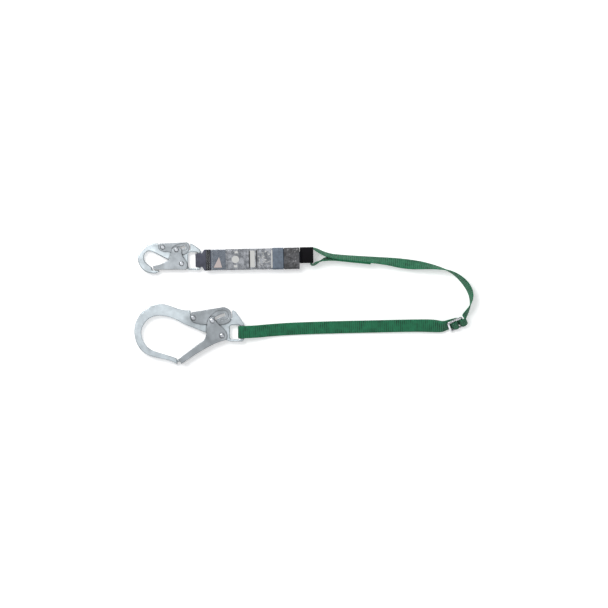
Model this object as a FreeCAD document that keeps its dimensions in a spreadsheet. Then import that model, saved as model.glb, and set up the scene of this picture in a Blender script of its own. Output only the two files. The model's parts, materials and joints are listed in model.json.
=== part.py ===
"""Shock absorbing lanyard: tear-webbing pack, adjustable strap, snap hook and rebar hook.

Millimetres, +X along the pack from the small hook's end towards the strap, +Z up from the surface
that the lanyard lies on. The origin is under the middle of the two hooks and the pack.
"""
import FreeCAD
import Part
import math
import os

from FreeCAD import Placement, Rotation, Vector

doc = FreeCAD.newDocument("shock_absorbing_lanyard")

# ---------------------------------------------------------------- driving dimensions
DIMENSIONS = {
    "strap_width": 25.4,
    "strap_thick": 2.2,
    "pack_webbing": 1.8,
    "pack_half_width": 22.0,
    "pack_height": 21.6,
    "pack_floor": 0.8,
    "film_thick": 0.5,
    "small_forging": 8.0,
    "small_sheet": 1.4,
    "small_edge": 1.5,
    "small_pivot_radius": 2.6,
    "small_pin_radius": 2.2,
    "small_head_radius": 4.9,
    "small_wire": 0.8,
    "small_midplane": 9.0,
    "large_forging": 10.0,
    "large_sheet": 1.6,
    "large_edge": 2.0,
    "large_pivot_radius": 3.4,
    "large_pin_radius": 2.5,
    "large_head_radius": 5.3,
    "large_wire": 0.9,
    "large_midplane": 10.4,
    "sheet_gap": 0.35,
    "running_gap": 0.05,
    "pin_gap": 0.3,
    "rivet_head": 1.2,
    "buckle_bar": 4.5,
    "buckle_length": 33.5,
    "buckle_width": 34.6,
}

sheet = doc.addObject("Spreadsheet::Sheet", "dims")
for row, (alias, value) in enumerate(DIMENSIONS.items(), start=1):
    sheet.set(f"A{row}", alias)
    sheet.set(f"B{row}", str(value))
    sheet.setAlias(f"B{row}", alias)
doc.recompute()

subparts = []


def dim(alias):
    """A driving dimension, read from the sheet."""
    return float(sheet.get(alias))


def bind(item, prop, expression):
    item.setExpression(prop, expression)


def keep(item, label, place):
    """Names a finished sub-part and puts it in its place."""
    item.Label = label
    item.Placement = place
    subparts.append(item)
    return item


# ---------------------------------------------------------------- sketch helpers
def point(xy):
    return Vector(xy[0], xy[1], 0)


def line(a, b):
    return Part.LineSegment(point(a), point(b))


def arc(a, middle, b):
    return Part.Arc(point(a), point(middle), point(b))


def curve(*points, start=None, end=None):
    """A smooth curve through the points, leaving and arriving in the directions given."""
    spline = Part.BSplineCurve()
    tangents = {}
    if start:
        tangents["InitialTangent"] = point(start)
    if end:
        tangents["FinalTangent"] = point(end)
    spline.interpolate(Points=[point(p) for p in points], **tangents)
    return spline


def polygon(points):
    return [line(a, b) for a, b in zip(points, points[1:] + points[:1])]


def rounded_box(left, bottom, right, top, radius):
    """A rectangle with four round corners."""
    r = radius
    bend = r * (1 - math.sqrt(0.5))
    return [
        line((left + r, bottom), (right - r, bottom)),
        arc((right - r, bottom), (right - bend, bottom + bend), (right, bottom + r)),
        line((right, bottom + r), (right, top - r)),
        arc((right, top - r), (right - bend, top - bend), (right - r, top)),
        line((right - r, top), (left + r, top)),
        arc((left + r, top), (left + bend, top - bend), (left, top - r)),
        line((left, top - r), (left, bottom + r)),
        arc((left, bottom + r), (left + bend, bottom + bend), (left + r, bottom)),
    ]


def new_sketch(body, name, geometry, plane="XY_Plane", offset=0.0):
    sketch = body.newObject("Sketcher::SketchObject", name)
    planes = [f for f in body.Origin.OriginFeatures if f.Role == plane]
    sketch.AttachmentSupport = (planes[0], [""])
    sketch.MapMode = "FlatFace"
    sketch.AttachmentOffset = Placement(Vector(0, 0, offset), Rotation())
    for item in geometry:
        sketch.addGeometry(item, False)
    return sketch


def new_pad(body, name, sketch, length, both_ways=True):
    pad = body.newObject("PartDesign::Pad", name)
    pad.Profile = sketch
    pad.SideType = "Symmetric" if both_ways else "One side"
    bind(pad, "Length", length)
    doc.recompute()
    return pad


def new_pocket(body, name, sketch, length, both_ways=True):
    """Cuts a pocket and makes sure that it has taken something away."""
    before = body.Shape.Volume
    pocket = body.newObject("PartDesign::Pocket", name)
    pocket.Profile = sketch
    pocket.SideType = "Symmetric" if both_ways else "One side"
    bind(pocket, "Length", length)
    doc.recompute()
    if body.Shape.Volume > before - 0.5:
        raise RuntimeError(f"{name} cut nothing")
    return pocket


def round_edges(body, name, base, radius, chosen):
    edges = [f"Edge{i}" for i, e in enumerate(base.Shape.Edges, start=1) if chosen(e)]
    fillet = body.newObject("PartDesign::Fillet", name)
    fillet.Base = (base, edges)
    bind(fillet, "Radius", radius)
    doc.recompute()
    if fillet.Shape.isNull() or not fillet.Shape.isValid():
        raise RuntimeError(f"{name} failed on {len(edges)} edges")
    return fillet


def on_face_at(height):
    """Chooses the edges that lie flat at plus or minus this height."""

    def chosen(edge):
        box = edge.BoundBox
        return box.ZLength < 1e-6 and abs(abs(box.ZMin) - height) < 1e-6

    return chosen


# ---------------------------------------------------------------- hooks
def turned(xy, degrees):
    """A point turned clockwise about the gate's pivot."""
    a = math.radians(degrees)
    x, y = xy
    return x * math.cos(a) + y * math.sin(a), y * math.cos(a) - x * math.sin(a)


def pin_in_lever(hook, open_deg):
    """Where the lock pin is, in the lever's own frame, with the gate this far open."""
    px, py = turned(hook["pin"], open_deg)
    ax, ay = hook["lock_pivot"]
    a = math.radians(open_deg * hook["lock_ratio"])
    dx, dy = px - ax, py - ay
    return ax + dx * math.cos(a) - dy * math.sin(a), ay + dx * math.sin(a) + dy * math.cos(a)


def slot_outline(hook, half_width):
    """An arc slot round the pin's way in the lever, from shut to fully open."""
    first, middle, last = (pin_in_lever(hook, hook["open_deg"] * k) for k in (0, 0.5, 1))
    circle = Part.Circle(point(first), point(middle), point(last))
    cx, cy, radius = circle.Center.x, circle.Center.y, circle.Radius

    def beside(p, shift):
        scale = (radius + shift) / radius
        return cx + (p[0] - cx) * scale, cy + (p[1] - cy) * scale

    def beyond(p, sign):
        ux, uy = (p[0] - cx) / radius, (p[1] - cy) / radius
        return p[0] + sign * uy * half_width, p[1] - sign * ux * half_width

    outer = [beside(p, half_width) for p in (first, middle, last)]
    inner = [beside(p, -half_width) for p in (last, middle, first)]
    return [
        arc(*outer),
        arc(outer[2], beyond(last, 1), inner[0]),
        arc(*inner),
        arc(inner[2], beyond(first, -1), outer[0]),
    ]


def circle_at(xy, radius):
    return Part.Circle(point(xy), Vector(0, 0, 1), radius)


def drill(body, name, xy, radius, through="3 * dims.large_forging"):
    """A round hole straight through, across the middle plane."""
    sketch = new_sketch(body, name + "_sketch", [circle_at(xy, radius)])
    return new_pocket(body, name, sketch, through)


def forged_body(hook, place):
    """The forged hook: one plate with rounded edges, an eye, and a notch under the lever."""
    name = hook["name"]
    body = doc.addObject("PartDesign::Body", name + "_hook_body")
    sketch = new_sketch(body, name + "_outline", hook["body"])
    pad = new_pad(body, name + "_forging", sketch, f"dims.{name}_forging")
    half = dim(name + "_forging") / 2
    if hook["rounded"]:
        round_edges(body, name + "_edges", pad, f"dims.{name}_edge", on_face_at(half))
    sketch = new_sketch(body, name + "_eye_sketch", rounded_box(*hook["eye"]))
    last = new_pocket(body, name + "_eye", sketch, "3 * dims.large_forging")
    left, bottom, right, top, _ = hook["eye"]

    def round_the_eye(edge):
        box = edge.BoundBox
        inside = box.XMin > left - 0.1 and box.XMax < right + 0.1
        inside = inside and box.YMin > bottom - 0.1 and box.YMax < top + 0.1
        return inside and on_face_at(half)(edge)

    round_edges(body, name + "_eye_edges", last, f"dims.{name}_edge", round_the_eye)
    sketch = new_sketch(body, name + "_notch_sketch", polygon(hook["notch"]))
    new_pocket(body, name + "_notch", sketch, "3 * dims.large_forging")
    drill(body, name + "_gate_bore", (0, 0), dim(name + "_pivot_radius"))
    drill(body, name + "_lock_bore", hook["lock_pivot"], dim(name + "_pivot_radius"))
    if "tongue" in hook:
        sketch = new_sketch(body, name + "_tongue_sketch", polygon(hook["tongue"]))
        new_pad(body, name + "_tongue", sketch, "0.6 * dims.large_forging")
    keep(body, name + "_hook_body", place)


def gate_width(name):
    """The gate's inside width: the forging with a lever plate and two gaps on each side."""
    return f"(dims.{name}_forging + 2 * dims.{name}_sheet + 4 * dims.sheet_gap)"


def lever_width(name):
    return f"(dims.{name}_forging + 2 * dims.sheet_gap)"


def folded_sheet(hook, piece, outline, hollow, inside):
    """Two side plates joined by a web along one edge."""
    name = hook["name"]
    body = doc.addObject("PartDesign::Body", f"{name}_{piece}")
    sketch = new_sketch(body, f"{name}_{piece}_side", outline)
    new_pad(body, f"{name}_{piece}_plates", sketch, f"{inside} + 2 * dims.{name}_sheet")
    sketch = new_sketch(body, f"{name}_{piece}_hollow_sketch", polygon(hollow))
    new_pocket(body, f"{name}_{piece}_hollow", sketch, inside)
    return body


def gate(hook, place):
    name = hook["name"]
    body = folded_sheet(hook, "gate", hook["gate"], hook["gate_hollow"], gate_width(name))
    drill(body, name + "_gate_hole", (0, 0), dim(name + "_pivot_radius") + dim("running_gap"))
    drill(body, name + "_gate_pin_hole", hook["pin"], dim(name + "_pin_radius"))
    keep(body, name + "_gate", place)


def lock_lever(hook, place):
    name = hook["name"]
    inside = lever_width(name)
    body = folded_sheet(hook, "lock_lever", hook["lever"], hook["lever_hollow"], inside)
    hole = dim(name + "_pivot_radius") + dim("running_gap")
    drill(body, name + "_lever_hole", hook["lock_pivot"], hole)
    slot = slot_outline(hook, dim(name + "_pin_radius") + dim("pin_gap"))
    sketch = new_sketch(body, name + "_lever_slot_sketch", slot)
    new_pocket(body, name + "_lever_slot", sketch, "3 * dims.large_forging")
    top = dim(name + "_forging") / 2 + dim("sheet_gap") + dim(name + "_sheet")
    sketch = new_sketch(body, name + "_step_sketch", hook["step"], offset=top)
    new_pocket(body, name + "_step", sketch, f"0.35 * dims.{name}_sheet", both_ways=False)
    keep(body, name + "_lock_lever", place)


def rivet(label, name, xy, radius_alias, outside, place):
    """A straight shank with a low domed head on each side of a stack this wide."""
    base = label
    parts = []
    shank = doc.addObject("Part::Cylinder", base + "_shank")
    bind(shank, "Radius", f"dims.{radius_alias}")
    bind(shank, "Height", outside + " + 2 * dims.sheet_gap")
    bind(shank, "Placement.Base.z", f"-({outside}) / 2 - dims.sheet_gap")
    parts.append(shank)
    for side, sign in (("top", 1), ("bottom", -1)):
        head = doc.addObject("Part::Cone", f"{base}_{side}_head")
        bind(head, "Radius1", f"dims.{name}_head_radius")
        bind(head, "Radius2", f"0.62 * dims.{name}_head_radius")
        bind(head, "Height", "dims.rivet_head - dims.sheet_gap")
        turn = Rotation(Vector(1, 0, 0), 0 if sign > 0 else 180)
        head.Placement = Placement(Vector(0, 0, 0), turn)
        bind(head, "Placement.Base.z", f"{sign} * (({outside}) / 2 + dims.sheet_gap)")
        parts.append(head)
    whole = doc.addObject("Part::MultiFuse", base)
    whole.Shapes = parts
    spot = place.multiply(Placement(Vector(xy[0], xy[1], 0), Rotation()))
    keep(whole, label, spot)


def gate_spring(hook, place):
    """Two turns of wire round the gate's pivot and two straight legs, beside the forging."""
    name = hook["name"]
    wire = dim(name + "_wire")
    turn_radius = dim(name + "_pivot_radius") + wire
    floor = dim(name + "_forging") / 2 + 0.2 + wire / 2
    parts = []
    for k in range(2):
        ring = doc.addObject("Part::Torus", f"{name}_gate_spring_turn_{k + 1}")
        ring.Radius1 = turn_radius
        bind(ring, "Radius2", f"dims.{name}_wire / 2")
        ring.Placement = Placement(Vector(0, 0, floor + k * 0.98 * wire), Rotation())
        parts.append(ring)
    for k, (angle, reach) in enumerate(hook["spring_legs"]):
        leg = doc.addObject("Part::Cylinder", f"{name}_gate_spring_leg_{k + 1}")
        bind(leg, "Radius", f"dims.{name}_wire / 2")
        leg.Height = reach
        a = math.radians(angle)
        start = Vector(-math.sin(a), math.cos(a), 0) * turn_radius
        start.z = floor + k * 0.98 * wire
        way = Vector(math.cos(a), math.sin(a), 0)
        leg.Placement = Placement(start, Rotation(Vector(0, 0, 1), way))
        parts.append(leg)
    whole = doc.addObject("Part::MultiFuse", name + "_gate_spring")
    whole.Shapes = parts
    keep(whole, name + "_gate_spring", place)


def lock_spring(hook, place):
    """A bent leaf on the forging's spine, under the lever's web."""
    name = hook["name"]
    body = doc.addObject("PartDesign::Body", name + "_lock_spring")
    sketch = new_sketch(body, name + "_leaf_side", polygon(hook["leaf"]))
    new_pad(body, name + "_leaf", sketch, f"0.6 * dims.{name}_forging")
    keep(body, name + "_lock_spring", place)


def build_hook(hook):
    name = hook["name"]
    x, y = hook["gate_pivot"]
    place = Placement(Vector(x, y, dim(name + "_midplane")), Rotation())
    forged_body(hook, place)
    gate(hook, place)
    lock_lever(hook, place)
    gate_outside = f"({gate_width(name)} + 2 * dims.{name}_sheet)"
    lever_outside = f"({lever_width(name)} + 2 * dims.{name}_sheet)"
    pivot = name + "_pivot_radius"
    rivet(name + "_gate_pivot", name, (0, 0), pivot, gate_outside, place)
    rivet(name + "_lock_pivot", name, hook["lock_pivot"], pivot, lever_outside, place)
    rivet(name + "_lock_pin", name, hook["pin"], name + "_pin_radius", gate_outside, place)
    gate_spring(hook, place)
    lock_spring(hook, place)


# Outlines are seen from above, with the gate's pivot at 0, 0 and the eye towards +X.
SMALL_HOOK = {
    "name": "small",
    "rounded": True,
    "gate_pivot": (-86.7, 81.1),
    "lock_pivot": (-38.7, 33.4),
    "pin": (-10.7, 28.5),
    "open_deg": 30.0,
    "lock_ratio": 0.18,
    "eye": (13.3, -9.2, 32.9, 23.6, 5.0),
    "body": [
        line((39.3, -7), (39.3, 23)),
        curve((39.3, 23), (37.8, 28.2), (34, 31.9), start=(0, 1), end=(-11.5, 7.9)),
        line((34, 31.9), (22.5, 39.8)),
        curve((22.5, 39.8), (17.5, 41.4), start=(-11.5, 7.9), end=(-1, 0)),
        line((17.5, 41.4), (-48, 41.4)),
        curve((-48, 41.4), (-59, 41.6), (-68.5, 39.6), (-82, 29), (-89.8, 13), (-86, -3),
              (-77, -14), (-64, -19.6), start=(-1, 0)),
        line((-64, -19.6), (-52.5, -20)),
        line((-52.5, -20), (-45, -16)),
        line((-45, -16), (-48, -13.3)),
        line((-48, -13.3), (-60, -13.3)),
        line((-60, -13.3), (-60.8, -8)),
        curve((-60.8, -8), (-68.5, -2), (-75.2, 5), (-77.2, 13.5), (-74, 22), (-67, 25.6),
              (-59, 23.6), (-49, 18.9), (-38, 13.4), (-27.3, 8), (-14, 0.5), (-6.5, -5),
              (0, -7.4), (7, -9), (13.5, -11.8), (20, -12.9), end=(1, 0)),
        line((20, -12.9), (34, -12.9)),
        curve((34, -12.9), (37.8, -11.2), (39.3, -7), start=(1, 0), end=(0, 1)),
    ],
    "notch": [(17.6, 60), (17.6, 27.6), (9, 24.5), (0, 26), (-9, 24.4), (-17.5, 18.5), (-21, 32),
              (-25, 38.2), (-47.6, 38.2), (-48.6, 60)],
    "gate": [
        line((-57.3, -11.9), (7.5, -11.9)),
        curve((7.5, -11.9), (11.2, -8.8), (9.8, 3), (2.6, 14.5), (0.4, 27)),
        curve((0.4, 27), (-3.6, 32.6), (-11, 34.6), (-17.6, 31.2), (-20.5, 24.2)),
        curve((-20.5, 24.2), (-24, 14), (-28, 7.2), (-34, 3), (-44, -1.4), (-58.3, -4.6)),
        arc((-58.3, -4.6), (-57.9, -8.3), (-57.3, -11.9)),
    ],
    "gate_hollow": [(-80, 60), (40, 60), (40, -40), (4, -40), (4, -10.5), (-80, -10.5)],
    "lever": [
        curve((-46.6, 38), (-45.5, 40.6), (-42, 41.4)),
        line((-42, 41.4), (8, 43.8)),
        curve((8, 43.8), (13.8, 41.8), (16, 36), (14.6, 28), (8.4, 20.6), (2, 19)),
        curve((2, 19), (-12, 20.4), (-26, 24.4), (-40, 26.2), (-45.4, 29.6), (-46.6, 38)),
    ],
    "lever_hollow": [(-60, 0), (-60, 39.7), (-42, 40), (7.6, 42.3), (12.6, 40.6), (14.3, 36.2),
                     (14.2, 34), (40, 34), (40, 0)],
    "step": [
        curve((-21, 30), (-14.5, 36.6), (-6, 40.2), (4, 40.6)),
        curve((4, 40.6), (9, 38.4), (11.5, 33.4), (8, 26.6)),
        line((8, 26.6), (-21, 30)),
    ],
    "spring_legs": [(162.0, 16.0), (70.0, 9.0)],
    "leaf": [(-46, 38.3), (-36, 38.3), (-27, 38.5), (-27, 39.1), (-36, 38.9), (-46, 38.9)],
}

LARGE_HOOK = {
    "name": "large",
    "rounded": False,
    "gate_pivot": (-3.9, -66.1),
    "lock_pivot": (-58.8, 36.1),
    "pin": (-19.9, 30.5),
    "open_deg": 40.0,
    "lock_ratio": 0.15,
    "eye": (15.8, -6.8, 37.8, 21.3, 4.5),
    "body": [
        line((45.7, -4), (45.7, 19)),
        curve((45.7, 19), (44.2, 25.2), (40.4, 31), start=(0, 1), end=(-11.9, 17)),
        line((40.4, 31), (28.5, 48)),
        curve((28.5, 48), (25.2, 51), (20.6, 52), start=(-11.9, 17), end=(-1, 0)),
        line((20.6, 52), (-66, 52)),
        curve((-66, 52), (-85, 53.8), (-104, 60), (-121.8, 64.6), (-142, 61.5), (-160, 51.5),
              (-173, 35), (-179.2, 12), (-177.5, -6), (-169.7, -24), (-156, -37), (-139, -43.6),
              (-116, -48.6), (-91.2, -58.8), start=(-1, 0)),
        line((-91.2, -58.8), (-93.4, -46.3)),
        curve((-93.4, -46.3), (-111, -40.2), (-130, -34.5), (-146, -28.3), (-158, -17),
              (-164.5, -2), (-165, 12), (-160.3, 23), (-150, 34.4), (-134, 40.6), (-115, 39.6),
              (-96, 33.6), (-80, 25), (-61.5, 17.2), (-45.7, 10.9), (-30, 5.2), (-14, -1.2),
              (-6, -4.8), (0, -6.4), (7, -8.2), (13.5, -11), (20, -11.9), end=(1, 0)),
        line((20, -11.9), (39, -11.9)),
        curve((39, -11.9), (43.7, -9.8), (45.7, -4), start=(1, 0), end=(0, 1)),
    ],
    "notch": [(20.4, 80), (20.4, 36), (10.5, 31), (-6, 31.8), (-17, 27), (-26, 19.5), (-31, 40),
              (-36, 43.2), (-64.5, 43), (-66.5, 80)],
    "tongue": [(-96, -56), (-80, -51), (-80, -46.5), (-96, -50)],
    "gate": [
        curve((-15.2, 36.9), (-20.2, 39.2), (-25.8, 35.8), (-30.1, 25), (-31.8, 7.8), (-35, -5.6),
              (-44, -14)),
        line((-44, -14), (-88.95, -47.84)),
        arc((-88.95, -47.84), (-86.17, -52.68), (-82.94, -57.64)),
        line((-82.94, -57.64), (-56, -39.4)),
        curve((-56, -39.4), (-34.9, -27), (-12, -15.4), (4.5, -9.8)),
        curve((4.5, -9.8), (9.4, -5), (9.4, 3.9), (-2.6, 18.9), (-15.2, 36.9)),
    ],
    "gate_hollow": [(-120, 60), (40, 60), (40, -40), (-1, -40), (-1, -9.6), (-12, -13.5),
                    (-34.9, -25), (-56, -37.2), (-56, -80), (-120, -80)],
    "lever": [
        curve((-63.8, 42), (-62.8, 46.4), (-58.6, 48.6)),
        line((-58.6, 48.6), (-2, 57.8)),
        curve((-2, 57.8), (10, 56.4), (17, 49.8), (18.6, 40), (16, 29.6), (8, 24.6), (-4, 22.6)),
        curve((-4, 22.6), (-32, 22.8), (-50, 25), (-60.5, 29), (-63.8, 42)),
    ],
    "lever_hollow": [(-90, 0), (-90, 46.6), (-58.2, 47), (-2, 56.1), (9.2, 54.8), (15.6, 49),
                     (16.6, 45), (40, 45), (40, 0)],
    "step": [
        curve((-30, 28), (-26, 36.6), (-20, 44.4), (-11, 50.2), (2, 52.6)),
        curve((2, 52.6), (10, 49.4), (13.6, 42), (11, 33)),
        line((11, 33), (-30, 28)),
    ],
    "spring_legs": [(163.0, 24.0), (80.0, 12.0)],
    "leaf": [(-60, 43.6), (-37, 43.8), (-14, 47.4), (-14, 48.2), (-37.2, 44.6), (-60, 44.4)],
}

# ---------------------------------------------------------------- shock pack
# The pack's own frame: the small hook's eye bar at x = 0, the pack's long axis along x.
PACK_TURN_DEG = 1.1
PACK_AT = Placement(Vector(-50.6, 88.3, 0), Rotation(Vector(0, 0, 1), PACK_TURN_DEG))
BAR_HEIGHT = 9.0
LOOP_INSIDE = 5.0
LOOP_HALF_WIDTH = 13.2
LOOP_FLARE = (5.8, 10.5)
SLEEVE_THICK = 1.2
SLEEVE_END = 23.6
STACK_START = 27.0
STACK_END = 174.0
STACK_HALF_WIDTH = 20.6
STACK_INSETS = (1.8, 0.7, 0.2, 0.2, 0.2, 0.2, 0.7, 1.8)


def u_profile(inside, thick, end, top, bottom):
    """A strap folded round the bar: two layers that run to x = end, seen from the side."""
    r0, r1, c = inside, inside + thick, BAR_HEIGHT
    return [
        arc((0, c + r1), (-r1, c), (0, c - r1)),
        line((0, c - r1), (end, bottom)),
        line((end, bottom), (end, bottom + thick)),
        line((end, bottom + thick), (0, c - r0)),
        arc((0, c - r0), (-r0, c), (0, c + r0)),
        line((0, c + r0), (end, top - thick)),
        line((end, top - thick), (end, top)),
        line((end, top), (0, c + r1)),
    ]


def trim_corners(body, name, reach, half_width, end_half):
    """Narrows a folded strap where it passes through the eye, on both sides."""
    x0, x1 = LOOP_FLARE
    for side, sign in (("far", 1), ("near", -1)):
        corner = [(-reach, sign * half_width), (x0, sign * half_width), (x1, sign * end_half),
                  (x1, sign * 40), (-reach, sign * 40)]
        sketch = new_sketch(body, f"{name}_{side}_corner", polygon(corner))
        new_pocket(body, f"{name}_{side}_trim", sketch, "100")


def folded_strap(label, inside, thick, end, top, bottom, half_width, end_half):
    body = doc.addObject("PartDesign::Body", label)
    profile = u_profile(inside, thick, end, top, bottom)
    sketch = new_sketch(body, label + "_side", profile, "XZ_Plane")
    new_pad(body, label + "_fold", sketch, f"{2 * end_half}")
    trim_corners(body, label, 20, half_width, end_half)
    keep(body, label, PACK_AT)


def harness_loop():
    thick = dim("pack_webbing")
    folded_strap("harness_loop", LOOP_INSIDE, thick, 26, 20.0, 2.2, LOOP_HALF_WIDTH, 20)


def wear_sleeve():
    inside = LOOP_INSIDE + dim("pack_webbing") + 0.05
    half = LOOP_HALF_WIDTH + 0.8
    folded_strap("wear_sleeve", inside, SLEEVE_THICK, SLEEVE_END, 21.3, 0.9, half, 21.4)


def sleeve_stitching():
    """Zigzag stitches in two rows across the sleeve's end."""
    stitches = []
    for row, x in enumerate((16.0, 20.4)):
        for k in range(13):
            stitch = doc.addObject("Part::Box", f"sleeve_stitch_{row + 1}_{k + 1}")
            stitch.Length = 3.4
            stitch.Width = 0.7
            stitch.Height = 0.7
            lean = 35 if k % 2 else -35
            z = 16.75 + 0.19 * x - 0.05
            spot = Vector(x - 1.4, -18.6 + 3.1 * k - (1 if lean > 0 else -1), z)
            stitch.Placement = Placement(spot, Rotation(Vector(0, 0, 1), lean))
            stitches.append(stitch)
    whole = doc.addObject("Part::Compound", "sleeve_stitching")
    whole.Links = stitches
    keep(whole, "sleeve_stitching", PACK_AT)


def flat_layer(name, start, length, half, floor, height):
    layer = doc.addObject("Part::Box", name)
    layer.Length = length
    layer.Width = 2 * half
    layer.Height = height
    layer.Placement = Placement(Vector(start, -half, floor), Rotation())
    return layer


def tear_webbing():
    """The load strap folded back and forth: flat layers joined at alternate ends."""
    pitch = 2.24
    thick = dim("pack_webbing")
    floor = 3.7
    halves = [STACK_HALF_WIDTH - inset for inset in STACK_INSETS]
    length = STACK_END - STACK_START
    parts = [flat_layer(f"tear_layer_{k + 1}", STACK_START, length, half, floor + k * pitch, thick)
             for k, half in enumerate(halves)]
    for k, (half, above) in enumerate(zip(halves, halves[1:])):
        x = STACK_START if k % 2 else STACK_END - thick
        parts.append(flat_layer(f"tear_fold_{k + 1}", x, thick, min(half, above),
                                floor + k * pitch, pitch + thick))
    whole = doc.addObject("Part::MultiFuse", "tear_webbing")
    whole.Shapes = parts
    keep(whole, "tear_webbing", PACK_AT)


def backup_webbing():
    strap = flat_layer("backup_layer", STACK_START, STACK_END - STACK_START, 17.2, 1.8, 1.6)
    whole = doc.addObject("Part::Compound", "backup_webbing")
    whole.Links = [strap]
    keep(whole, "backup_webbing", PACK_AT)


def ring_round_pack(label, start, end, grow, thick, corner=4.5):
    """A tube round the pack: its outside is this much larger than the film's outside."""
    half = dim("pack_half_width") + grow
    low = dim("pack_floor") - grow
    high = dim("pack_floor") + dim("pack_height") + grow
    body = doc.addObject("PartDesign::Body", label)
    outer = rounded_box(-half, low, half, high, corner + grow)
    inner = rounded_box(thick - half, low + thick, half - thick, high - thick,
                        corner + grow - thick)
    sketch = new_sketch(body, label + "_ring", outer + inner, "YZ_Plane", start)
    new_pad(body, label + "_tube", sketch, f"{end - start}", both_ways=False)
    keep(body, label, PACK_AT)


def pack_wraps():
    film = dim("film_thick")
    ring_round_pack("pack_film", 23.8, 173.0, 0, film)
    ring_round_pack("label_wrap", 54.3, 149.6, -film, 0.3)
    ring_round_pack("pack_band", 149.8, 172.2, 0.55, 0.55)
    ring_round_pack("end_wrap", 173.4, 205.0, 0.3, 0.8)


# The end of the pack: a loop that the strap runs through on edge, and its fabric cover.
END_LOOP_SIDE = [(176, 20.2), (206, 20.8), (212.5, 30.6), (231.6, 30.6), (231.6, 0.8),
                 (210, 0.8), (205.4, 2.2), (176, 2.4)]
END_LOOP_INSIDE = [(175, 18.4), (206.8, 19), (213.5, 28.8), (229.8, 28.8), (229.8, 2.6),
                   (210.2, 2.6), (205.6, 4.0), (175, 4.2)]
COVER_SIDE = [(206, 22.4), (212, 32), (233.4, 32), (233.4, 0), (206, 0)]
COVER_INSIDE = [(205, 19.4), (212.4, 30.75), (231.8, 30.75), (231.8, 0.75), (205, 0.75)]
COVER_NEAR = -10.0
COVER_FAR = 22.2
WALL_FAR = 13.2


def side_shell(label, outer, inner, near, far):
    """A bent sheet: the side outline less its inside, as wide as near to far."""
    body = doc.addObject("PartDesign::Body", label)
    middle = -(near + far) / 2
    sketch = new_sketch(body, label + "_side", polygon(outer), "XZ_Plane", middle)
    new_pad(body, label + "_block", sketch, f"{far - near}")
    sketch = new_sketch(body, label + "_inside", polygon(inner), "XZ_Plane", middle)
    new_pocket(body, label + "_hollow", sketch, f"{far - near + 2}")
    return body


def pack_end_loop():
    body = side_shell("pack_end_loop", END_LOOP_SIDE, END_LOOP_INSIDE, -18.0, 18.0)
    sides = {"far": [(205, WALL_FAR), (205, 30), (240, 30), (240, WALL_FAR)],
             "near": [(205, COVER_NEAR + 0.8), (205, -30), (240, -30), (240, COVER_NEAR + 0.8)]}
    for side, corner in sides.items():
        sketch = new_sketch(body, f"pack_end_loop_{side}", polygon(corner))
        new_pocket(body, f"pack_end_loop_{side}_trim", sketch, "100")
    keep(body, "pack_end_loop", PACK_AT)


def end_cover():
    body = side_shell("end_cover", COVER_SIDE, COVER_INSIDE, COVER_NEAR, COVER_FAR)
    window = [(WALL_FAR, 1.0), (WALL_FAR, 30.5), (COVER_FAR + 5, 30.5), (COVER_FAR + 5, 1.0)]
    sketch = new_sketch(body, "end_cover_window", polygon(window), "YZ_Plane", 240)
    new_pocket(body, "end_cover_window_cut", sketch, "12", both_ways=False)
    keep(body, "end_cover", PACK_AT)


# ---------------------------------------------------------------- green strap
# Each route point: x, y, height of the strap's low edge, lean of its width from upright in
# degrees, and the compass direction of that lean in degrees from +X.
UPPER_ROUTE = [
    (176.8, 93.0, 2.9, 0, 0),
    (176.8, 106.5, 2.9, 2, -20),
    (180.6, 112.6, 2.0, 6, -80),
    (188.4, 110.2, 1.2, 12, -115),
    (204.0, 101.6, 0.6, 17, -118),
    (222.0, 95.8, 0.4, 22, -100),
    (256.0, 92.6, 0.4, 25, -96),
    (296.0, 89.6, 0.4, 29, -95),
    (333.8, 86.2, 0.4, 36, -98),
    (358.4, 82.4, 0.4, 50, -98),
    (383.0, 79.4, 0.4, 51, -96),
    (407.6, 77.4, 0.4, 36, -96),
    (432.2, 74.1, 0.4, 17, -100),
    (456.5, 68.6, 0.4, 0, -110),
    (478.0, 57.5, 0.4, -14, -122),
    (497.5, 38.0, 0.4, -27, -140),
    (506.6, 17.5, 0.4, -20, -165),
    (504.6, -3.0, 0.6, 2, 170),
    (497.0, -17.5, 1.2, 18, 150),
    (489.6, -29.0, 2.4, 30, 130),
]
TAIL_ROUTE = [
    (176.8, 93.0, 2.9, 0, 0),
    (176.8, 82.8, 2.9, 3, 20),
    (181.2, 78.4, 2.0, 8, 60),
    (188.2, 82.0, 1.2, 12, 100),
    (204.0, 90.0, 0.6, 17, -110),
    (222.0, 92.8, 0.4, 22, -100),
    (256.0, 89.8, 0.4, 25, -96),
    (300.4, 86.1, 0.4, 29, -95),
]

BUCKLE_CENTRE = Vector(474.2, -42.9, 17.5)
BUCKLE_ALONG = Vector(0.917, 0.398, 0)
BUCKLE_TILT_DEG = 55.0
BUCKLE_LEAN = 90 - BUCKLE_TILT_DEG
BUCKLE_SIDE = 113.5


def buckle_axes():
    """Along the rails, along the bars, and out of the frame's upper face."""
    tilt = math.radians(BUCKLE_TILT_DEG)
    along = Vector(BUCKLE_ALONG)
    along.normalize()
    level = Vector(-along.y, along.x, 0)
    across = level * math.cos(tilt) + Vector(0, 0, math.sin(tilt))
    return along, across, along.cross(across)


def through_buckle(along, out):
    """A route point given along the rails and out of the frame, at the strap's middle."""
    e1, _, e3 = buckle_axes()
    spot = BUCKLE_CENTRE + e1 * along + e3 * out
    return (spot.x, spot.y, spot.z - middle_height(BUCKLE_LEAN), BUCKLE_LEAN, BUCKLE_SIDE)


def middle_height(lean):
    a = math.radians(abs(lean))
    return dim("strap_width") / 2 * math.cos(a) + dim("strap_thick") / 2 * math.sin(a)


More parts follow.
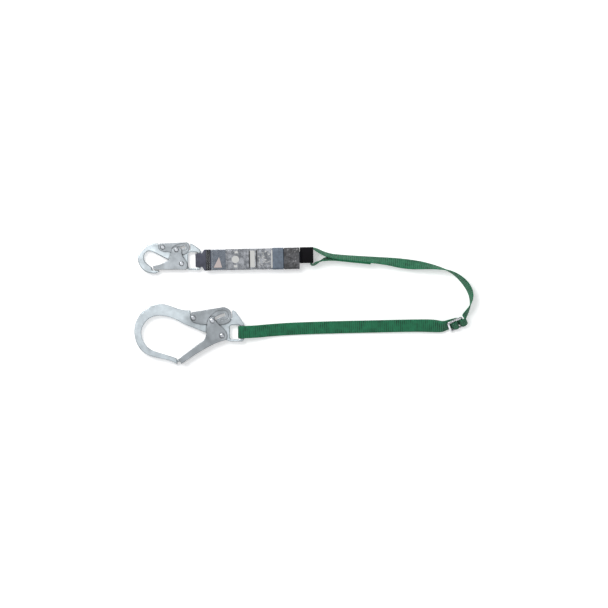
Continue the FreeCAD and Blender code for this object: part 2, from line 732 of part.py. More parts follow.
# Under the left bar and the centre bar's wrap, over the right bar: along, out.
RETURN_IN_BUCKLE = [(24.0, 1.4), (16.1, 4.4), (11.8, 3.8), (9.8, 0.0), (6.6, -5.8),
                    (-2.0, -7.2), (-12.6, -9.2), (-20.5, -10.6)]
FRONT_IN_BUCKLE = [(-20.0, -4.6), (-12.2, -4.1), (-8.6, -1.5), (-5.2, 2.6)]
TAIL_IN_BUCKLE = [(-5.0, -4.7), (-12.4, -6.6), (-20.2, -7.6)]
RETURN_ROUTE = [
    (444.0, -45.2, 0.9, 52, 104),
    (428.0, -45.0, 0.6, 72, 96),
    (406.0, -45.2, 0.4, 86, 92),
    (372.0, -45.8, 0.3, 90, 91),
    (336.0, -46.6, 0.3, 90, 91),
    (290.0, -47.7, 0.3, 90, 91),
    (236.0, -48.8, 0.3, 90, 91),
    (150.0, -51.4, 0.3, 90, 92),
    (98.0, -54.6, 0.4, 90, 92),
    (64.0, -58.0, 0.6, 90, 91),
]
# How far the other two layers lie above the returning one, point by point.
LAYER = 2.7
TAIL_RISE = [3.5, 3.3, 2.9, LAYER, LAYER]
FRONT_RISE = [6.9, 6.5, 5.8, 2 * LAYER, 2 * LAYER, 3.7, 2.8, 2.8, 4.3, 13.2]
FOLD_CENTRE = Vector(37.85, -58.85, 10.4)
FOLD_RADIUS = 8.5
WRAP_RADIUS = 4.0


def middle_line(route):
    """Each route point as the middle of the strap, with its lean and side."""
    return [(Vector(x, y, low + middle_height(lean)), lean, side)
            for x, y, low, lean, side in route]


def bent_route(knots):
    """Straight runs joined by tangent arcs, as stations, and the smallest arc radius."""
    spots = [knot[0] for knot in knots]
    stations = [knots[0]]
    radii = []
    for k in range(1, len(knots) - 1):
        into, out = spots[k] - spots[k - 1], spots[k + 1] - spots[k]
        into_length, out_length = into.Length, out.Length
        turn = into.getAngle(out)
        reach = 0.45 * min(into_length, out_length)
        radius = reach / math.tan(turn / 2)
        radii.append(radius)
        ahead = into.normalize()
        inward = (out - ahead * out.dot(ahead)).normalize()
        start = spots[k] - ahead * reach
        steps = max(2, math.ceil(math.degrees(turn) / 12))
        for n in range(steps + 1):
            t = n / steps
            spot = (start + ahead * (radius * math.sin(turn * t))
                    + inward * (radius * (1 - math.cos(turn * t))))
            stations.append((spot, *blended(knots, k, t, reach, into_length, out_length)))
    stations.append(knots[-1])
    return stations, min(radii)


def blended(knots, k, t, reach, into_length, out_length):
    """Lean and side at a station of the bend at point k."""
    if t < 0.5:
        share = (1 - 2 * t) * reach / into_length
        other = knots[k - 1]
    else:
        share = (2 * t - 1) * reach / out_length
        other = knots[k + 1]
    lean = knots[k][1] * (1 - share) + other[1] * share
    turn = (other[2] - knots[k][2] + 180) % 360 - 180
    return lean, knots[k][2] + turn * share


def ribbon(stations):
    """A flat strap through the stations: flat sections joined by straight-sided lofts."""
    width, thick = dim("strap_width") / 2, dim("strap_thick") / 2
    wires = []
    for k, (spot, lean, side) in enumerate(stations):
        ahead = stations[min(k + 1, len(stations) - 1)][0]
        behind = stations[max(k - 1, 0)][0]
        way = (ahead - behind).normalize()
        a, s = math.radians(lean), math.radians(side)
        across = Vector(math.sin(a) * math.cos(s), math.sin(a) * math.sin(s), math.cos(a))
        across = (across - way * across.dot(way)).normalize()
        out = way.cross(across)
        corners = [spot + across * width * u + out * thick * v
                   for u, v in ((1, 1), (1, -1), (-1, -1), (-1, 1))]
        wires.append(Part.makePolygon(corners + corners[:1]))
    return Part.makeLoft(wires, True, True)


def strap(label, knots):
    stations, tightest = bent_route(knots)
    solid = ribbon(stations)
    length = sum((b[0] - a[0]).Length for a, b in zip(stations, stations[1:]))
    section = dim("strap_width") * dim("strap_thick")
    print(f"{label}: {length:.0f} mm long, smallest bend radius {tightest:.1f} mm,"
          f" volume {solid.Volume / (section * length):.3f} of ideal")
    feature = doc.addObject("Part::Feature", label)
    feature.Shape = solid
    keep(feature, label, Placement())


def raised(knots, rises):
    """The same knots moved out from the strap's upper face, for a layer lying on it."""
    moved = []
    for (spot, lean, side), rise in zip(knots, rises):
        a, s = math.radians(lean), math.radians(side)
        level = Vector(math.cos(s), math.sin(s), 0)
        moved.append((spot + (Vector(0, 0, math.sin(a)) - level * math.cos(a)) * rise, lean, side))
    return moved


def halfway(a, b):
    """The middle of a straight run, where two spans of one strap meet face to face."""
    turn = (b[2] - a[2] + 180) % 360 - 180
    return ((a[0] + b[0]) * 0.5, (a[1] + b[1]) / 2, a[2] + turn / 2)


def fold_knots():
    """Round the large hook's eye bar, from the lower layer to the upper one."""
    knots = []
    for degrees in range(-75, -286, -30):
        a = math.radians(degrees)
        spot = FOLD_CENTRE + Vector(math.cos(a), 0, math.sin(a)) * FOLD_RADIUS
        knots.append((spot, 90, 90))
    return knots


def wrap_knots():
    """Round the buckle's centre bar, from above it to below it."""
    e1, _, e3 = buckle_axes()
    knots = []
    for degrees in (100, 55, 10, -35, -80):
        a = math.radians(degrees)
        spot = BUCKLE_CENTRE + (e1 * math.cos(a) + e3 * math.sin(a)) * WRAP_RADIUS
        knots.append((spot, BUCKLE_LEAN, BUCKLE_SIDE))
    return knots


def in_buckle(points):
    return middle_line([through_buckle(*point) for point in points])


def tail_back():
    return raised(middle_line(RETURN_ROUTE), TAIL_RISE)


def green_strap():
    """One strap in five spans: each pair of neighbours shares the middle of a run."""
    upper, fold, wrap = middle_line(UPPER_ROUTE), fold_knots(), wrap_knots()
    back = in_buckle(RETURN_IN_BUCKLE)
    lower = middle_line(RETURN_ROUTE)
    front = raised(lower, FRONT_RISE)[::-1]
    at_buckle = halfway(upper[-1], back[0])
    at_fold = halfway(fold[-1], front[0])
    at_bar = halfway(wrap[1], wrap[2])
    strap("upper_strap", upper + [at_buckle])
    strap("pack_loop_tail", middle_line(TAIL_ROUTE))
    strap("lower_strap_return", [at_buckle] + back + lower + fold + [at_fold])
    strap("lower_strap_front", [at_fold] + front + in_buckle(FRONT_IN_BUCKLE) + wrap[:2] + [at_bar])
    strap("buckle_tail", [at_bar] + wrap[2:] + in_buckle(TAIL_IN_BUCKLE) + tail_back())


def bar_tacks(label, stations, first, last, rows, per_row, shift):
    """Threads straight through two layers, in rows across the strap."""
    reach = 2 * dim("strap_thick") + 0.7
    a, lean, side = stations[first]
    b = stations[last][0]
    way = (b - a).normalize()
    tilt, s = math.radians(lean), math.radians(side)
    across = Vector(math.sin(tilt) * math.cos(s), math.sin(tilt) * math.sin(s), math.cos(tilt))
    across = (across - way * across.dot(way)).normalize()
    out = way.cross(across)
    length = (b - a).Length
    threads = []
    for i in range(rows):
        for j in range(per_row):
            along = way * (length * (0.08 + 0.84 * i / (rows - 1)))
            aside = across * (18.0 * (j / (per_row - 1) - 0.5))
            spot = a + along + aside + out * (shift - reach / 2)
            thread = doc.addObject("Part::Cylinder", f"{label}_{i + 1}_{j + 1}")
            thread.Radius = 0.35
            thread.Height = reach
            thread.Placement = Placement(spot, Rotation(Vector(0, 0, 1), out))
            threads.append(thread)
    whole = doc.addObject("Part::Compound", label)
    whole.Links = threads
    keep(whole, label, Placement())


def buckle_frame():
    """A bent-wire look in one casting: two side rails, two end bars and a centre bar."""
    bar = dim("buckle_bar")
    long, wide = dim("buckle_length"), dim("buckle_width")
    body = doc.addObject("PartDesign::Body", "buckle_frame")
    outer = rounded_box(-long / 2, -wide / 2, long / 2, wide / 2, 4.0)
    slot_out = long / 2 - bar
    slot_wide = wide / 2 - bar
    slots = []
    for left, right in ((-slot_out, -bar / 2), (bar / 2, slot_out)):
        slots += rounded_box(left, -slot_wide, right, slot_wide, 1.4)
    sketch = new_sketch(body, "buckle_plan", outer + slots)
    pad = new_pad(body, "buckle_blank", sketch, "dims.buckle_bar")
    round_edges(body, "buckle_edges", pad, "0.44 * dims.buckle_bar", on_face_at(bar / 2))
    e1, e2, e3 = buckle_axes()
    turn = Rotation(e1, e2, e3, "ZXY")
    keep(body, "buckle_frame", Placement(BUCKLE_CENTRE, turn))


def build():
    build_hook(SMALL_HOOK)
    build_hook(LARGE_HOOK)
    harness_loop()
    wear_sleeve()
    sleeve_stitching()
    tear_webbing()
    backup_webbing()
    pack_wraps()
    pack_end_loop()
    end_cover()
    green_strap()
    bar_tacks("loop_bar_tacks", middle_line(TAIL_ROUTE), 5, 7, 6, 5, -1.25)
    bar_tacks("buckle_bar_tacks", tail_back(), 4, 3, 5, 5, LAYER / 2)
    buckle_frame()
    doc.recompute()


def check():
    """Stops if anything failed, is empty or isn't valid."""
    for item in doc.Objects:
        if "Invalid" in item.State or "Error" in item.State:
            raise RuntimeError(f"{item.Name} failed: {item.State}")
    for item in subparts:
        if item.Shape.isNull() or not item.Shape.isValid():
            raise RuntimeError(f"{item.Label} has no valid shape")


def write():
    os.makedirs("parts", exist_ok=True)
    for item in subparts:
        item.Shape.exportStep(f"parts/{item.Label}.step")
        box = item.Shape.BoundBox
        print(f"{item.Label}: {box.XMin:.1f} {box.YMin:.1f} {box.ZMin:.1f}"
              f" to {box.XMax:.1f} {box.YMax:.1f} {box.ZMax:.1f}, {item.Shape.Volume:.0f} mm3")


build()
check()
write()
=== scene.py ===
"""Shock absorbing lanyard: looks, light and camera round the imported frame. Metres, row frame."""
import json
import math
import random

import bmesh
import bpy
from mathutils import Matrix, Vector, noise

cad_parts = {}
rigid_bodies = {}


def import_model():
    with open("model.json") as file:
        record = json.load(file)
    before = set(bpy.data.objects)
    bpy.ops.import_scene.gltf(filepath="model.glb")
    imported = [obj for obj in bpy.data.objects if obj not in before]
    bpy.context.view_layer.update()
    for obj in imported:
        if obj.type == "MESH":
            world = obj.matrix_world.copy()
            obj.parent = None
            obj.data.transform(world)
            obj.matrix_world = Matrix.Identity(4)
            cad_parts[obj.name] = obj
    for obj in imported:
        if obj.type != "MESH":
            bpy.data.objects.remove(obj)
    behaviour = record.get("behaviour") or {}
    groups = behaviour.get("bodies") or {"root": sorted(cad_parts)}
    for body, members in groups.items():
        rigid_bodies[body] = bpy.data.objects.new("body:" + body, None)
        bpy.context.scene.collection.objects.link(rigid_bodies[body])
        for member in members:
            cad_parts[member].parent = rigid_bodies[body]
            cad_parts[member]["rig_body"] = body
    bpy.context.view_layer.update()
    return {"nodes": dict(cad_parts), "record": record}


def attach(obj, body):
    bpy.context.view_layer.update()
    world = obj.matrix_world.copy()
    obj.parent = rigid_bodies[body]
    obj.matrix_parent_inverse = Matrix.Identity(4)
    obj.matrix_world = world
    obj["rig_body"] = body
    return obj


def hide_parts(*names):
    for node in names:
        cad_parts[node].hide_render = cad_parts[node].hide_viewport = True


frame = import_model()
MM = 0.001
random.seed(7)
NODES = frame["nodes"]
ROOT = "webbing"

# ---------------------------------------------------------------- camera
CAMERA_HEIGHT = 6.0
VIEW_CENTRE = (0.1636, -0.0013)
VIEW_WIDTH = 1.2464
SENSOR = 36.0
camera_data = bpy.data.cameras.new("camera")
camera_data.sensor_width = SENSOR
camera_data.lens = SENSOR * CAMERA_HEIGHT / VIEW_WIDTH
camera_data.clip_end = 50.0
camera = bpy.data.objects.new("camera", camera_data)
camera.location = (*VIEW_CENTRE, CAMERA_HEIGHT)
bpy.context.scene.collection.objects.link(camera)
bpy.context.scene.camera = camera

# ---------------------------------------------------------------- strap routes
STRAP_WIDTH = 25.4 * MM
STRAP_THICK = 2.2 * MM
# x, y, height of the low edge (mm), lean of the width from upright, direction of the lean (deg).
UPPER_ROUTE = [
    (176.8, 93.0, 2.9, 0, 0), (176.8, 106.5, 2.9, 2, -20), (180.6, 112.6, 2.0, 6, -80),
    (188.4, 110.2, 1.2, 12, -115), (204.0, 101.6, 0.6, 17, -118), (222.0, 95.8, 0.4, 22, -100),
    (256.0, 92.6, 0.4, 25, -96), (296.0, 89.6, 0.4, 29, -95), (333.8, 86.2, 0.4, 36, -98),
    (358.4, 82.4, 0.4, 50, -98), (383.0, 79.4, 0.4, 51, -96), (407.6, 77.4, 0.4, 36, -96),
    (432.2, 74.1, 0.4, 17, -100), (456.5, 68.6, 0.4, 0, -110), (478.0, 57.5, 0.4, -14, -122),
    (497.5, 38.0, 0.4, -27, -140), (506.6, 17.5, 0.4, -20, -165), (504.6, -3.0, 0.6, 2, 170),
    (497.0, -17.5, 1.2, 18, 150), (489.6, -29.0, 2.4, 30, 130),
]
TAIL_ROUTE = [
    (176.8, 93.0, 2.9, 0, 0), (176.8, 82.8, 2.9, 3, 20), (181.2, 78.4, 2.0, 8, 60),
    (188.2, 82.0, 1.2, 12, 100), (204.0, 90.0, 0.6, 17, -110), (222.0, 92.8, 0.4, 22, -100),
    (256.0, 89.8, 0.4, 25, -96), (300.4, 86.1, 0.4, 29, -95),
]
RETURN_ROUTE = [
    (444.0, -45.2, 0.9, 52, 104), (428.0, -45.0, 0.6, 72, 96), (406.0, -45.2, 0.4, 86, 92),
    (372.0, -45.8, 0.3, 90, 91), (336.0, -46.6, 0.3, 90, 91), (290.0, -47.7, 0.3, 90, 91),
    (236.0, -48.8, 0.3, 90, 91), (150.0, -51.4, 0.3, 90, 92), (98.0, -54.6, 0.4, 90, 92),
    (64.0, -58.0, 0.6, 90, 91),
]
# How far the tail and the front layer lie above the returning one, point by point, mm.
LAYER = 2.7
TAIL_RISE = [3.5, 3.3, 2.9, LAYER, LAYER]
FRONT_RISE = [6.9, 6.5, 5.8, 2 * LAYER, 2 * LAYER, 3.7, 2.8, 2.8, 4.3, 13.2]
# Along the buckle's rails and out of its face, mm.
RETURN_IN_BUCKLE = [(24.0, 1.4), (16.1, 4.4), (11.8, 3.8), (9.8, 0.0), (6.6, -5.8),
                    (-2.0, -7.2), (-12.6, -9.2), (-20.5, -10.6)]
FRONT_IN_BUCKLE = [(-20.0, -4.6), (-12.2, -4.1), (-8.6, -1.5), (-5.2, 2.6)]
TAIL_IN_BUCKLE = [(-5.0, -4.7), (-12.4, -6.6), (-20.2, -7.6)]
# Where one span of the strap ends and the next begins.
MEET_AT_BUCKLE = (493.1, -31.7, 4.8, 32.5, 121.8)
MEET_AT_FOLD = (52.0, -58.4, 15.7, 90, 90.5)
MEET_IN_BUCKLE = (3.1, 2.0)
BUCKLE_CENTRE = Vector((474.2, -42.9, 17.5))
BUCKLE_LEAN = 35.0
BUCKLE_SIDE = 113.5
WRAP_RADIUS = 4.0
WRAP_DEG = (100, 55, 10, -35, -80)
FOLD_CENTRE = Vector((37.85, -58.85, 10.4))
FOLD_RADIUS = 8.5
FOLD_DEG = range(-75, -286, -30)


def width_way(lean, side):
    a, s = math.radians(lean), math.radians(side)
    return Vector((math.sin(a) * math.cos(s), math.sin(a) * math.sin(s), math.cos(a)))


def face_way(lean, side):
    a, s = math.radians(lean), math.radians(side)
    return Vector((-math.cos(a) * math.cos(s), -math.cos(a) * math.sin(s), math.sin(a)))


def middle_height(lean):
    a = math.radians(abs(lean))
    return (STRAP_WIDTH * math.cos(a) + STRAP_THICK * math.sin(a)) / 2 / MM


def knots_of(route):
    return [(Vector((x, y, low + middle_height(lean))), lean, side)
            for x, y, low, lean, side in route]


def raised(knots, rises):
    return [(spot + face_way(lean, side) * rise, lean, side)
            for (spot, lean, side), rise in zip(knots, rises)]


BUCKLE_ALONG = Vector((0.917, 0.398, 0.0)).normalized()
BUCKLE_OUT = BUCKLE_ALONG.cross(width_way(BUCKLE_LEAN, BUCKLE_SIDE)).normalized()


def in_buckle(points):
    return [(BUCKLE_CENTRE + BUCKLE_ALONG * along + BUCKLE_OUT * out, BUCKLE_LEAN, BUCKLE_SIDE)
            for along, out in points]


def fold_knots():
    turns = [math.radians(d) for d in FOLD_DEG]
    return [(FOLD_CENTRE + Vector((math.cos(a), 0, math.sin(a))) * FOLD_RADIUS, 90, 90)
            for a in turns]


def wrap_knots():
    turns = [math.radians(d) for d in WRAP_DEG]
    return in_buckle([(WRAP_RADIUS * math.cos(a), WRAP_RADIUS * math.sin(a)) for a in turns])


def spline_points(points):
    """Points along the smooth NURBS line that has these as its control points."""
    data = bpy.data.curves.new("route", "CURVE")
    data.dimensions = "3D"
    data.resolution_u = 10
    spline = data.splines.new("NURBS")
    spline.points.add(len(points) - 1)
    for place, point in zip(spline.points, points):
        place.co = (*point, 1.0)
    spline.order_u = 3
    spline.use_endpoint_u = True
    holder = bpy.data.objects.new("route", data)
    bpy.context.scene.collection.objects.link(holder)
    bpy.context.view_layer.update()
    read = bpy.data.meshes.new_from_object(holder)
    found = [v.co.copy() for v in read.vertices]
    bpy.data.objects.remove(holder)
    return found


def stations_of(knots):
    """The strap's middle, width direction and face direction, all along its spline."""
    middle = spline_points([k[0] * MM for k in knots])
    rim = spline_points([k[0] * MM + width_way(k[1], k[2]) * (STRAP_WIDTH / 2) for k in knots])
    stations = []
    for i, (spot, edge) in enumerate(zip(middle, rim)):
        way = (middle[min(i + 1, len(middle) - 1)] - middle[max(i - 1, 0)]).normalized()
        across = edge - spot
        across = (across - way * across.dot(way)).normalized()
        stations.append((spot, across, way.cross(across), way))
    return stations


# Webbing section: rounded edges and a slight crown, as fractions of half width and half thickness.
SECTION = [(-1.0, 0.0), (-0.985, 0.62), (-0.93, 0.95), (-0.6, 1.0), (-0.2, 1.0), (0.2, 1.0),
           (0.6, 1.0), (0.93, 0.95), (0.985, 0.62), (1.0, 0.0), (0.985, -0.62), (0.93, -0.95),
           (0.6, -1.0), (0.2, -1.0), (-0.2, -1.0), (-0.6, -1.0), (-0.93, -0.95), (-0.985, -0.62)]


def linked(name, mesh, body, slot):
    item = bpy.data.objects.new(name, mesh)
    bpy.context.scene.collection.objects.link(item)
    item.data.materials.append(MATERIALS[slot])
    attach(item, body)
    return item


def smooth(mesh):
    mesh.polygons.foreach_set("use_smooth", [True] * len(mesh.polygons))
    mesh.update()


def ribbon_mesh(name, stations):
    """The woven strap, with a map of length along it and place across it in metres."""
    n = len(SECTION)
    points, faces = [], []
    for spot, across, out, _ in stations:
        for u, v in SECTION:
            points.append(spot + across * (u * STRAP_WIDTH / 2) + out * (v * STRAP_THICK / 2))
    for i in range(len(stations) - 1):
        for j in range(n):
            k = (j + 1) % n
            faces.append((i * n + j, i * n + k, (i + 1) * n + k, (i + 1) * n + j))
    last = (len(stations) - 1) * n
    faces.append(tuple(range(n))[::-1])
    faces.append(tuple(last + j for j in range(n)))
    mesh = bpy.data.meshes.new(name)
    mesh.from_pydata(points, [], faces)
    run = [0.0]
    for a, b in zip(stations, stations[1:]):
        run.append(run[-1] + (b[0] - a[0]).length)
    layer = mesh.uv_layers.new(name="weave")
    for loop in mesh.loops:
        station, place = divmod(loop.vertex_index, n)
        layer.data[loop.index].uv = (run[station], SECTION[place][0] * STRAP_WIDTH / 2)
    smooth(mesh)
    return mesh


# ---------------------------------------------------------------- materials
def node_material(slot, colour, rough, metallic=0.0, coat=0.0, alpha=1.0):
    made = bpy.data.materials.new(slot)
    made.use_nodes = True
    tree = made.node_tree
    shader = tree.nodes["Principled BSDF"]
    shader.inputs["Roughness"].default_value = rough
    shader.inputs["Metallic"].default_value = metallic
    shader.inputs["Coat Weight"].default_value = coat
    shader.inputs["Coat Roughness"].default_value = 0.12
    shader.inputs["Alpha"].default_value = alpha
    shader.inputs["Base Color"].default_value = (*colour, 1.0)
    return made, tree, shader


def link(tree, source, output, target, entry):
    tree.links.new(source.outputs[output], target.inputs[entry])


def spread_noise(tree, scale, detail, stretch=(1, 1, 1)):
    where = tree.nodes.new("ShaderNodeTexCoord")
    shape = tree.nodes.new("ShaderNodeMapping")
    shape.inputs["Scale"].default_value = stretch
    grain = tree.nodes.new("ShaderNodeTexNoise")
    grain.inputs["Scale"].default_value = scale
    grain.inputs["Detail"].default_value = detail
    link(tree, where, "Object", shape, "Vector")
    link(tree, shape, "Vector", grain, "Vector")
    return grain


def tinted(tree, shader, grain, output, dark, light, low=0.3, high=0.7):
    ramp = tree.nodes.new("ShaderNodeValToRGB")
    ramp.color_ramp.elements[0].position = low
    ramp.color_ramp.elements[1].position = high
    ramp.color_ramp.elements[0].color = (*dark, 1.0)
    ramp.color_ramp.elements[1].color = (*light, 1.0)
    link(tree, grain, output, ramp, "Fac")
    link(tree, ramp, "Color", shader, "Base Color")


def bumped(tree, shader, grain, output, strength, distance):
    bump = tree.nodes.new("ShaderNodeBump")
    bump.inputs["Strength"].default_value = strength
    bump.inputs["Distance"].default_value = distance
    link(tree, grain, output, bump, "Height")
    link(tree, bump, "Normal", shader, "Normal")
    return bump


def scaled(colour, factor):
    return tuple(min(1.0, c * factor) for c in colour)


def painted_close_shade(tree, shader, reach=0.005, dark=0.04):
    """Darken the base colour where another surface comes close: painted shade in corners and between
    parts.
    """
    source = shader.inputs["Base Color"].links[0].from_socket
    near = tree.nodes.new("ShaderNodeAmbientOcclusion")
    near.inputs["Distance"].default_value = reach
    near.samples = 6
    depth = tree.nodes.new("ShaderNodeMapRange")
    depth.inputs["From Min"].default_value = 0.45
    depth.inputs["From Max"].default_value = 0.92
    depth.inputs["To Min"].default_value = dark
    mix = tree.nodes.new("ShaderNodeMix")
    mix.data_type = "RGBA"
    mix.blend_type = "MULTIPLY"
    mix.inputs["Factor"].default_value = 1.0
    link(tree, near, "AO", depth, "Value")
    tree.links.new(source, mix.inputs["A"])
    tree.links.new(depth.outputs["Result"], mix.inputs["B"])
    tree.links.new(mix.outputs["Result"], shader.inputs["Base Color"])


def metal(slot, colour, rough, stretch=(1, 1, 1), scale=900.0, edge=0.0004):
    """Plated steel: cloudy satin, fine brushing, and edges that catch the light."""
    made, tree, shader = node_material(slot, colour, rough, metallic=1.0)
    wear = spread_noise(tree, 45.0, 5.0)
    tinted(tree, shader, wear, "Fac", scaled(colour, 0.66), scaled(colour, 1.14))
    brushing = spread_noise(tree, scale, 2.0, stretch)
    bump = bumped(tree, shader, brushing, "Fac", 0.35, 0.0001)
    corner = tree.nodes.new("ShaderNodeBevel")
    corner.inputs["Radius"].default_value = edge
    link(tree, corner, "Normal", bump, "Normal")
    # Painted shade: the base colour darkens where other surfaces come close.
    painted_close_shade(tree, shader)
    return made


def webbing(slot, colour, pitch=0.0042):
    """Woven strap: ribs across it, and finer warp lines along it, from the map of the weave."""
    made, tree, shader = node_material(slot, colour, 0.72)
    shader.inputs["Sheen Weight"].default_value = 0.06
    shader.inputs["Sheen Roughness"].default_value = 0.5
    where = tree.nodes.new("ShaderNodeTexCoord")
    ribs = tree.nodes.new("ShaderNodeTexWave")
    ribs.wave_type = "BANDS"
    ribs.bands_direction = "X"
    ribs.inputs["Scale"].default_value = 0.314 / pitch
    warp = tree.nodes.new("ShaderNodeTexWave")
    warp.wave_type = "BANDS"
    warp.bands_direction = "Y"
    warp.inputs["Scale"].default_value = 0.314 / (pitch * 0.3)
    both = tree.nodes.new("ShaderNodeMath")
    both.operation = "MULTIPLY"
    link(tree, where, "UV", ribs, "Vector")
    link(tree, where, "UV", warp, "Vector")
    link(tree, ribs, "Fac", both, 0)
    link(tree, warp, "Fac", both, 1)
    fade = spread_noise(tree, 90.0, 5.0)
    shade = tree.nodes.new("ShaderNodeMath")
    shade.operation = "MULTIPLY_ADD"
    shade.inputs[1].default_value = 0.55
    link(tree, ribs, "Fac", shade, 0)
    link(tree, fade, "Fac", shade, 2)
    tinted(tree, shader, shade, "Value", scaled(colour, 0.22), scaled(colour, 1.15), 0.35, 0.85)
    bumped(tree, shader, both, "Value", 1.0, 0.0008)
    return made


def cloth(slot, colour, rough=0.85, scale=1400.0, strength=0.5, sheen=0.15):
    made, tree, shader = node_material(slot, colour, rough)
    shader.inputs["Sheen Weight"].default_value = sheen
    fade = spread_noise(tree, 70.0, 4.0)
    tinted(tree, shader, fade, "Fac", scaled(colour, 0.7), scaled(colour, 1.35))
    shader.inputs["Specular IOR Level"].default_value = 0.15
    threads = spread_noise(tree, scale, 2.0)
    bumped(tree, shader, threads, "Fac", strength, 0.0003)
    return made


def film(slot, colour, rough, alpha=1.0, wrinkle=0.35, scale=60.0, patchy=0.85):
    made, tree, shader = node_material(slot, colour, rough, coat=0.6, alpha=alpha)
    fade = spread_noise(tree, 160.0, 6.0)
    tinted(tree, shader, fade, "Fac", scaled(colour, patchy), scaled(colour, 2 - patchy), 0.38, 0.62)
    folds = spread_noise(tree, scale, 4.0, (1.0, 0.35, 1.0))
    bumped(tree, shader, folds, "Fac", wrinkle, 0.0012)
    return made


GREEN = (0.016, 0.205, 0.092)
MATERIALS = {
    "forged_zinc": metal("forged_zinc", (0.60, 0.66, 0.69), 0.33, scale=500.0, edge=0.0024),
    "stamped_zinc": metal("stamped_zinc", (0.40, 0.43, 0.45), 0.32, (1, 12, 1), 300.0, 0.0014),
    "rivet_steel": metal("rivet_steel", (0.60, 0.62, 0.65), 0.30),
    "spring_steel": metal("spring_steel", (0.36, 0.37, 0.39), 0.35),
    "buckle_steel": metal("buckle_steel", (0.78, 0.79, 0.81), 0.20),
    "green_webbing": webbing("green_webbing", GREEN),
    "pack_webbing": cloth("pack_webbing", (0.07, 0.085, 0.11), 0.8, 1000.0),
    "sleeve_fabric": cloth("sleeve_fabric", (0.097, 0.10, 0.13), 0.85, 900.0, 0.7),
    "cover_fabric": cloth("cover_fabric", (0.0025, 0.002, 0.0035), 0.7, 700.0, 0.4, 0.0),
    "thread": cloth("thread", (0.03, 0.03, 0.035), 0.8, 3000.0),
    "clear_film": film("clear_film", (0.50, 0.55, 0.62), 0.10, alpha=0.16, wrinkle=0.8),
    "label_sheet": film("label_sheet", (0.29, 0.285, 0.29), 0.30, wrinkle=1.0, scale=110.0,
                        patchy=0.35),
    "band_plastic": film("band_plastic", (0.127, 0.162, 0.209), 0.22, wrinkle=0.25),
    "wrap_plastic": film("wrap_plastic", (0.055, 0.055, 0.06), 0.46, wrinkle=1.0, scale=70.0,
                         patchy=0.4),
}
# Pale white for the label's print, also used for the painted reflection on the film.
PRINT_AND_REFLECTION_WHITE, _, _ = node_material("print_and_reflection_white", (0.62, 0.62, 0.60), 0.45)
LABEL_BLACK, _, _ = node_material("label_black", (0.02, 0.02, 0.022), 0.5)
TAB_PINK, _, _ = node_material("tab_pink", (0.55, 0.47, 0.45), 0.6)
WHITE_THREAD, _, _ = node_material("pale_thread", (0.45, 0.46, 0.48), 0.8)

RECORD_SLOTS = {s["node"]: s["material_slot"] for s in frame["record"]["subparts"]}
for node, item in NODES.items():
    item.data.materials.clear()
    item.data.materials.append(MATERIALS[RECORD_SLOTS[node]])


# ---------------------------------------------------------------- straps
def strap_span(name, knots, node):
    """One span of the strap. The two short sewn ends are made with this alone."""
    stations = stations_of(knots)
    mesh = ribbon_mesh(name, stations)
    item = linked(name, mesh, ROOT, "green_webbing")
    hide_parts(node)
    return item, stations


def free_strap(name, knots, node):
    item, stations = strap_span(name, knots, node)


def green_straps():
    upper, fold, wrap = knots_of(UPPER_ROUTE), fold_knots(), wrap_knots()
    back, lower = in_buckle(RETURN_IN_BUCKLE), knots_of(RETURN_ROUTE)
    front = raised(lower, FRONT_RISE)[::-1]
    at_buckle, at_fold = knots_of([MEET_AT_BUCKLE, MEET_AT_FOLD])
    at_bar = in_buckle([MEET_IN_BUCKLE])[0]
    free_strap("strap_upper", upper + [at_buckle], "upper_strap")
    free_strap("strap_return", [at_buckle] + back + lower + fold + [at_fold],
               "lower_strap_return")
    free_strap("strap_front", [at_fold] + front + in_buckle(FRONT_IN_BUCKLE) + wrap[:2]
               + [at_bar], "lower_strap_front")
    _, pack_tail = strap_span("strap_pack_tail", knots_of(TAIL_ROUTE), "pack_loop_tail")
    _, buckle_tail = strap_span("strap_buckle_tail", [at_bar] + wrap[2:]
                                + in_buckle(TAIL_IN_BUCKLE) + raised(lower, TAIL_RISE),
                                "buckle_tail")
    return pack_tail, buckle_tail


# ---------------------------------------------------------------- small pieces
PACK_TURN = Matrix.Translation((-0.0506, 0.0883, 0)) @ Matrix.Rotation(math.radians(1.1), 4, "Z")


def box_mesh(mesh, centre, size, turn=None):
    """Adds one plain box of that size to a bmesh."""
    made = bmesh.ops.create_cube(mesh, size=1.0)["verts"]
    place = Matrix.Translation(centre) @ (turn or Matrix()) @ Matrix.Diagonal((*size, 1.0))
    bmesh.ops.transform(mesh, matrix=place, verts=made)


def finished(name, mesh, body, slot, bevel=0.0, material=None):
    data = bpy.data.meshes.new(name)
    mesh.to_mesh(data)
    mesh.free()
    item = linked(name, data, body, slot)
    if material is not None:
        item.data.materials.clear()
        item.data.materials.append(material)
    if bevel:
        rounding = item.modifiers.new("rounding", "BEVEL")
        rounding.width = bevel
        rounding.segments = 2
    return item


def basis(across, along, out):
    return Matrix((along, across, out)).transposed().to_4x4()


STITCHES_ACROSS = 9
STITCH_SPREAD = 0.0205
STITCH_SHIFT = 0.0009
STITCH_SIZE = (0.0022, 0.0009, 0.0006)


def strap_stitches(name, stations, first, last, rows, nodes):
    """Short stitches in rows across the sewn overlap, lying on both its faces."""
    mesh = bmesh.new()
    count = len(stations) - 1
    for i in range(rows):
        share = first + (last - first) * i / (rows - 1)
        spot, across, out, way = stations[round(share * count)]
        for j in range(STITCHES_ACROSS):
            shift = STITCH_SHIFT if j % 2 else -STITCH_SHIFT
            side = STITCH_SPREAD * (j / (STITCHES_ACROSS - 1) - 0.5)
            centre = spot + across * side + way * shift
            for face in (1, -1):
                box_mesh(mesh, centre + out * (face * STRAP_THICK * 0.5),
                         STITCH_SIZE, basis(across, way, out))
    item = finished(name, mesh, ROOT, "thread", 0.0002)
    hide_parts(*nodes)


